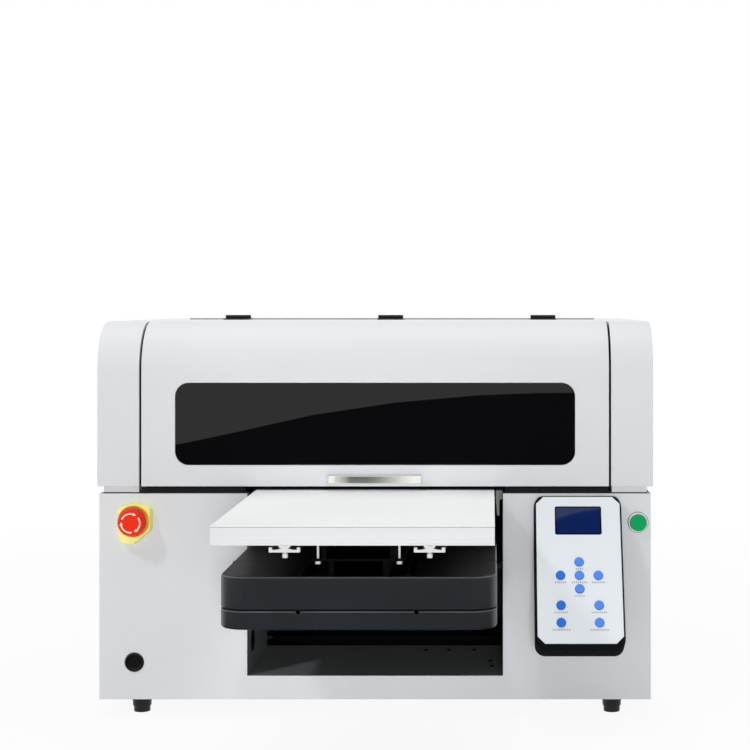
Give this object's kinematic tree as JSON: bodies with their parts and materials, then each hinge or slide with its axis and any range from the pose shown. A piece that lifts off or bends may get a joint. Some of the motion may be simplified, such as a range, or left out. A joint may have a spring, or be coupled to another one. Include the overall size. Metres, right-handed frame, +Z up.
{
  "type": "flatbed uv printer",
  "caption": "Desktop flatbed UV printer: sheet-metal cabinet, hinged hood with tinted window, table sliding out on a lift beam, inner print carriage, tilted key console and stop button.",
  "frame": {"origin": "on the floor, under the middle of the overall outline", "axes": "+X to the right of someone facing the front, +Y from the front into the machine, +Z up"},
  "size_m": [0.778, 1.013, 0.561],
  "materials": {
    "cabinet_paint": "satin light grey powder coat",
    "black_paint": "satin black powder coat",
    "black_moulding": "fine-grained black moulding",
    "foot_rubber": "black rubber",
    "tinted_glazing": "glossy tinted acrylic",
    "satin_nickel": "satin nickel",
    "steel": "ground steel",
    "aluminium": "natural aluminium",
    "white_table": "white lacquered aluminium",
    "white_sheet": "white plastic sheet",
    "faceplate_white": "white membrane panel",
    "display_blue": "blue display glass",
    "key_blue": "blue plastic",
    "stop_red": "red plastic",
    "guard_yellow": "yellow plastic",
    "start_green": "green translucent plastic",
    "chrome_ring": "bright ring",
    "belt_rubber": "black timing belt",
    "ink_plastic": "translucent tank plastic",
    "motor_black": "black motor lacquer"
  },
  "bodies": {
    "cabinet": {"base_pan": "black_paint", "feet": "foot_rubber", "front_panel": "cabinet_paint", "cabinet_wrap": "cabinet_paint", "bay_liner": "black_paint", "deck_frame": "black_paint", "hood_cheeks": "cabinet_paint", "rear_hood": "cabinet_paint", "hinge_fixed_leaves": "black_paint", "gantry_beam": "aluminium", "x_rail": "steel", "x_motor": "motor_black", "x_belt": "belt_rubber", "capping_station": "black_moulding", "ink_tanks": "ink_plastic", "estop_guard": "guard_yellow", "start_bezel": "chrome_ring", "console_housing": "black_moulding", "console_faceplate": "faceplate_white", "lcd_window": "display_blue", "hole_plug": "black_moulding", "guide_rods": "steel", "lift_motor": "motor_black", "lift_belt": "belt_rubber", "electronics_box": "aluminium", "mains_inlet": "black_moulding"},
    "lid": {"lid_shell": "cabinet_paint", "lid_window": "tinted_glazing", "lid_handle": "satin_nickel", "hinge_moving_leaves": "black_paint"},
    "lift": {"beam_cover": "black_moulding", "beam_tray": "black_moulding", "lift_plate": "aluminium", "y_rails": "steel", "y_motor": "motor_black"},
    "table": {"table_slab": "white_table", "table_sheet": "white_sheet", "table_profiles": "aluminium", "slide_blocks": "steel", "table_saddle": "black_paint"},
    "table_screw": {"y_screw": "steel"},
    "left_lift_screw": {"lift_screw_left": "steel"},
    "right_lift_screw": {"lift_screw_right": "steel"},
    "carriage": {"carriage_frame": "black_moulding", "print_heads": "steel", "uv_lamp": "aluminium"},
    "drive_pulley": {"x_drive_pulley": "aluminium"},
    "idler_pulley": {"x_idler_pulley": "aluminium"},
    "stop_plunger": {"estop_plunger": "black_moulding"},
    "stop_head": {"estop_head": "stop_red"},
    "start_button": {"start_lens": "start_green"},
    "key_up_cap": {"key_up": "key_blue"},
    "key_left_cap": {"key_left": "key_blue"},
    "key_enter_cap": {"key_enter": "key_blue"},
    "key_right_cap": {"key_right": "key_blue"},
    "key_down_cap": {"key_down": "key_blue"},
    "key_lower_left_cap": {"key_lower_left": "key_blue"},
    "key_lower_right_cap": {"key_lower_right": "key_blue"},
    "key_bottom_left_cap": {"key_bottom_left": "key_blue"},
    "key_bottom_right_cap": {"key_bottom_right": "key_blue"}
  },
  "joints": [
    {"name": "lid_hinge", "type": "hinge", "parent": "cabinet", "child": "lid", "pos_m": [0, 0.2545, 0.55725], "axis": [-1, 0, 0], "range_deg": [0, 95]},
    {"name": "lift_slide", "type": "slide", "parent": "cabinet", "child": "lift", "axis": [0, 0, 1], "range_m": [-0.11, 0]},
    {"name": "table_slide", "type": "slide", "parent": "lift", "child": "table", "axis": [0, 1, 0], "range_m": [0, 0.54]},
    {"name": "table_screw_spin", "type": "hinge", "parent": "lift", "child": "table_screw", "pos_m": [0, -0.1155, 0.232], "axis": [0, 1, 0], "range_deg": [-1, 9722]},
    {"name": "left_lift_screw_spin", "type": "hinge", "parent": "cabinet", "child": "left_lift_screw", "pos_m": [-0.205, 0.2345, 0.17], "axis": [0, 0, 1], "range_deg": [-3962, 1]},
    {"name": "right_lift_screw_spin", "type": "hinge", "parent": "cabinet", "child": "right_lift_screw", "pos_m": [0.205, 0.2345, 0.17], "axis": [0, 0, 1], "range_deg": [-3962, 1]},
    {"name": "carriage_slide", "type": "slide", "parent": "cabinet", "child": "carriage", "axis": [1, 0, 0], "range_m": [-0.42, 0]},
    {"name": "drive_pulley_spin", "type": "hinge", "parent": "cabinet", "child": "drive_pulley", "pos_m": [0.296, 0.0845, 0.406], "axis": [0, 1, 0], "range_deg": [-2768, 1]},
    {"name": "idler_pulley_spin", "type": "hinge", "parent": "cabinet", "child": "idler_pulley", "pos_m": [-0.296, 0.0785, 0.406], "axis": [0, 1, 0], "range_deg": [-2768, 1]},
    {"name": "estop_push", "type": "slide", "parent": "cabinet", "child": "stop_plunger", "axis": [0, 1, 0], "range_m": [0, 0.005], "stiffness_N_per_m": 2000},
    {"name": "estop_twist", "type": "hinge", "parent": "stop_plunger", "child": "stop_head", "pos_m": [-0.335, -0.1455, 0.276], "axis": [0, 1, 0], "range_deg": [0, 35], "stiffness_Nm_per_rad": 0.1},
    {"name": "start_push", "type": "slide", "parent": "cabinet", "child": "start_button", "axis": [0, 1, 0], "range_m": [0, 0.003], "stiffness_N_per_m": 1000},
    {"name": "key_up_push", "type": "slide", "parent": "cabinet", "child": "key_up_cap", "axis": [0, 0.8949, -0.4462], "range_m": [0, 0.0012], "stiffness_N_per_m": 800},
    {"name": "key_left_push", "type": "slide", "parent": "cabinet", "child": "key_left_cap", "axis": [0, 0.8949, -0.4462], "range_m": [0, 0.0012], "stiffness_N_per_m": 800},
    {"name": "key_enter_push", "type": "slide", "parent": "cabinet", "child": "key_enter_cap", "axis": [0, 0.8949, -0.4462], "range_m": [0, 0.0012], "stiffness_N_per_m": 800},
    {"name": "key_right_push", "type": "slide", "parent": "cabinet", "child": "key_right_cap", "axis": [0, 0.8949, -0.4462], "range_m": [0, 0.0012], "stiffness_N_per_m": 800},
    {"name": "key_down_push", "type": "slide", "parent": "cabinet", "child": "key_down_cap", "axis": [0, 0.8949, -0.4462], "range_m": [0, 0.0012], "stiffness_N_per_m": 800},
    {"name": "key_lower_left_push", "type": "slide", "parent": "cabinet", "child": "key_lower_left_cap", "axis": [0, 0.8949, -0.4462], "range_m": [0, 0.0012], "stiffness_N_per_m": 800},
    {"name": "key_lower_right_push", "type": "slide", "parent": "cabinet", "child": "key_lower_right_cap", "axis": [0, 0.8949, -0.4462], "range_m": [0, 0.0012], "stiffness_N_per_m": 800},
    {"name": "key_bottom_left_push", "type": "slide", "parent": "cabinet", "child": "key_bottom_left_cap", "axis": [0, 0.8949, -0.4462], "range_m": [0, 0.0012], "stiffness_N_per_m": 800},
    {"name": "key_bottom_right_push", "type": "slide", "parent": "cabinet", "child": "key_bottom_right_cap", "axis": [0, 0.8949, -0.4462], "range_m": [0, 0.0012], "stiffness_N_per_m": 800}
  ],
  "couplings": [
    {"joint": "table_screw_spin", "follows": "table_slide", "rad_per_m": 314.16},
    {"joint": "left_lift_screw_spin", "follows": "lift_slide", "rad_per_m": 628.32},
    {"joint": "right_lift_screw_spin", "follows": "lift_slide", "rad_per_m": 628.32},
    {"joint": "drive_pulley_spin", "follows": "carriage_slide", "rad_per_m": 114.94},
    {"joint": "idler_pulley_spin", "follows": "carriage_slide", "rad_per_m": 114.94}
  ]
}
